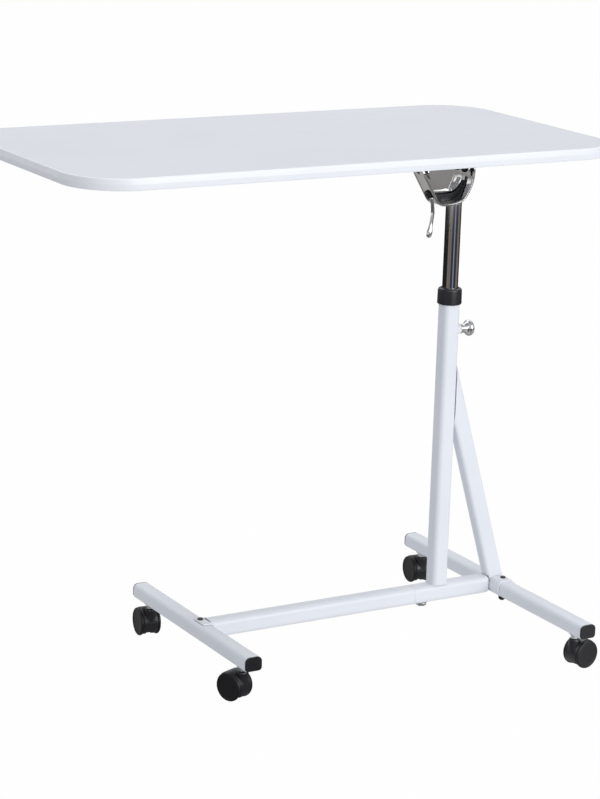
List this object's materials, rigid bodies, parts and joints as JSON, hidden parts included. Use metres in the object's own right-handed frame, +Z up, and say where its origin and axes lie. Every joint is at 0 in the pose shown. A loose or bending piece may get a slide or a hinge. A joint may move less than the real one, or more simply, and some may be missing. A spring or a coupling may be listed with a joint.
{
  "type": "overbed table",
  "caption": "Overbed table: rounded rectangular top on a tilting head and sliding round post, clamped in a square mast on a rolling H-shaped base.",
  "frame": {"origin": "on the floor under the middle of the tabletop", "axes": "+X along the top's long side towards the mast, -Y towards the side with the shorter reach of the left foot, +Z up"},
  "size_m": [0.8, 0.4607, 0.732],
  "materials": {
    "laminate": "pale grey laminate on board, fine satin texture",
    "edging": "satin white moulding",
    "white_paint": "white powder coat, satin",
    "chrome": "bright chrome plate",
    "zinc": "bright zinc plate",
    "dark_steel": "black zinc plate",
    "black_plastic": "black moulded, satin",
    "tread": "dark wheel tread, dull"
  },
  "bodies": {
    "base": {"mast_tube": "white_paint", "mast_collar": "black_plastic", "knob_boss": "white_paint", "brace_tube": "white_paint", "spine_left": "white_paint", "spine_right": "white_paint", "spine_insert": "zinc", "spine_bolt": "zinc", "left_foot": "white_paint", "right_foot": "white_paint", "left_saddle": "white_paint", "right_saddle": "white_paint", "left_foot_bolt": "dark_steel", "left_foot_nut": "dark_steel", "right_foot_front_bolt": "dark_steel", "right_foot_front_nut": "dark_steel", "right_foot_rear_bolt": "dark_steel", "right_foot_rear_nut": "dark_steel", "front_left_end_cap": "black_plastic", "rear_left_end_cap": "black_plastic", "rear_right_end_cap": "black_plastic", "front_right_end_cap": "black_plastic", "front_left_caster_stem": "zinc", "rear_left_caster_stem": "zinc", "rear_right_caster_stem": "zinc", "front_right_caster_stem": "zinc"},
    "guide": {"post_guide": "black_plastic"},
    "post": {"inner_post": "chrome", "yoke": "chrome", "brake_shoe": "black_plastic", "tilt_pin_left": "dark_steel", "tilt_pin_right": "dark_steel"},
    "top": {"tabletop_board": "laminate", "edge_band": "edging", "mounting_plate": "zinc", "plate_screw_1": "zinc", "plate_screw_2": "zinc", "plate_screw_3": "zinc", "plate_screw_4": "zinc", "rocker": "chrome"},
    "lever": {"lever_bolt": "dark_steel", "lever_hub": "dark_steel", "clamp_lever": "chrome"},
    "knob": {"clamp_knob": "chrome"},
    "front_left_swivel": {"front_left_caster_hood": "black_plastic", "front_left_caster_axle": "zinc"},
    "front_left_wheel_a": {"front_left_wheel_a": "tread"},
    "front_left_wheel_b": {"front_left_wheel_b": "tread"},
    "rear_left_swivel": {"rear_left_caster_hood": "black_plastic", "rear_left_caster_axle": "zinc"},
    "rear_left_wheel_a": {"rear_left_wheel_a": "tread"},
    "rear_left_wheel_b": {"rear_left_wheel_b": "tread"},
    "rear_right_swivel": {"rear_right_caster_hood": "black_plastic", "rear_right_caster_axle": "zinc"},
    "rear_right_wheel_a": {"rear_right_wheel_a": "tread"},
    "rear_right_wheel_b": {"rear_right_wheel_b": "tread"},
    "front_right_swivel": {"front_right_caster_hood": "black_plastic", "front_right_caster_axle": "zinc"},
    "front_right_wheel_a": {"front_right_wheel_a": "tread"},
    "front_right_wheel_b": {"front_right_wheel_b": "tread"}
  },
  "joints": [
    {"name": "height_slide", "type": "slide", "parent": "base", "child": "guide", "axis": [0, 0, 1], "range_m": [-0.11, 0.2]},
    {"name": "post_turn", "type": "hinge", "parent": "guide", "child": "post", "pos_m": [0.2576, 0, 0.457], "axis": [0, 0, 1], "range_deg": [-180, 180]},
    {"name": "top_tilt", "type": "hinge", "parent": "post", "child": "top", "pos_m": [0.2576, 0, 0.675], "axis": [1, 0, 0], "range_deg": [-90, 90]},
    {"name": "clamp_lever_turn", "type": "hinge", "parent": "post", "child": "lever", "pos_m": [0.216, 0, 0.642], "axis": [-0.8613, 0, -0.5082], "range_deg": [-30, 30]},
    {"name": "clamp_knob_turn", "type": "hinge", "parent": "base", "child": "knob", "pos_m": [0.2576, 0, 0.448], "axis": [1, 0, 0], "range_deg": [0, 360]},
    {"name": "front_left_swivel_turn", "type": "hinge", "parent": "base", "child": "front_left_swivel", "pos_m": [-0.123, -0.1174, 0.0355], "axis": [0, 0, 1], "continuous": true},
    {"name": "front_left_wheel_a_spin", "type": "hinge", "parent": "front_left_swivel", "child": "front_left_wheel_a", "pos_m": [-0.12787, -0.10535, 0.02], "axis": [-0.9272, -0.3746, 0], "continuous": true},
    {"name": "front_left_wheel_b_spin", "type": "hinge", "parent": "front_left_swivel", "child": "front_left_wheel_b", "pos_m": [-0.12787, -0.10535, 0.02], "axis": [-0.9272, -0.3746, 0], "continuous": true},
    {"name": "rear_left_swivel_turn", "type": "hinge", "parent": "base", "child": "rear_left_swivel", "pos_m": [-0.123, 0.1556, 0.0355], "axis": [0, 0, 1], "continuous": true},
    {"name": "rear_left_wheel_a_spin", "type": "hinge", "parent": "rear_left_swivel", "child": "rear_left_wheel_a", "pos_m": [-0.12164, 0.16853, 0.02], "axis": [-0.9945, 0.1045, 0], "continuous": true},
    {"name": "rear_left_wheel_b_spin", "type": "hinge", "parent": "rear_left_swivel", "child": "rear_left_wheel_b", "pos_m": [-0.12164, 0.16853, 0.02], "axis": [-0.9945, 0.1045, 0], "continuous": true},
    {"name": "rear_right_swivel_turn", "type": "hinge", "parent": "base", "child": "rear_right_swivel", "pos_m": [0.3564, 0.1916, 0.0355], "axis": [0, 0, 1], "continuous": true},
    {"name": "rear_right_wheel_a_spin", "type": "hinge", "parent": "rear_right_swivel", "child": "rear_right_wheel_a", "pos_m": [0.35731, 0.20457, 0.02], "axis": [-0.9976, 0.0698, 0], "continuous": true},
    {"name": "rear_right_wheel_b_spin", "type": "hinge", "parent": "rear_right_swivel", "child": "rear_right_wheel_b", "pos_m": [0.35731, 0.20457, 0.02], "axis": [-0.9976, 0.0698, 0], "continuous": true},
    {"name": "front_right_swivel_turn", "type": "hinge", "parent": "base", "child": "front_right_swivel", "pos_m": [0.3564, -0.2045, 0.0355], "axis": [0, 0, 1], "continuous": true},
    {"name": "front_right_wheel_a_spin", "type": "hinge", "parent": "front_right_swivel", "child": "front_right_wheel_a", "pos_m": [0.36927, -0.20269, 0.02], "axis": [-0.1392, 0.9903, 0], "continuous": true},
    {"name": "front_right_wheel_b_spin", "type": "hinge", "parent": "front_right_swivel", "child": "front_right_wheel_b", "pos_m": [0.36927, -0.20269, 0.02], "axis": [-0.1392, 0.9903, 0], "continuous": true}
  ]
}
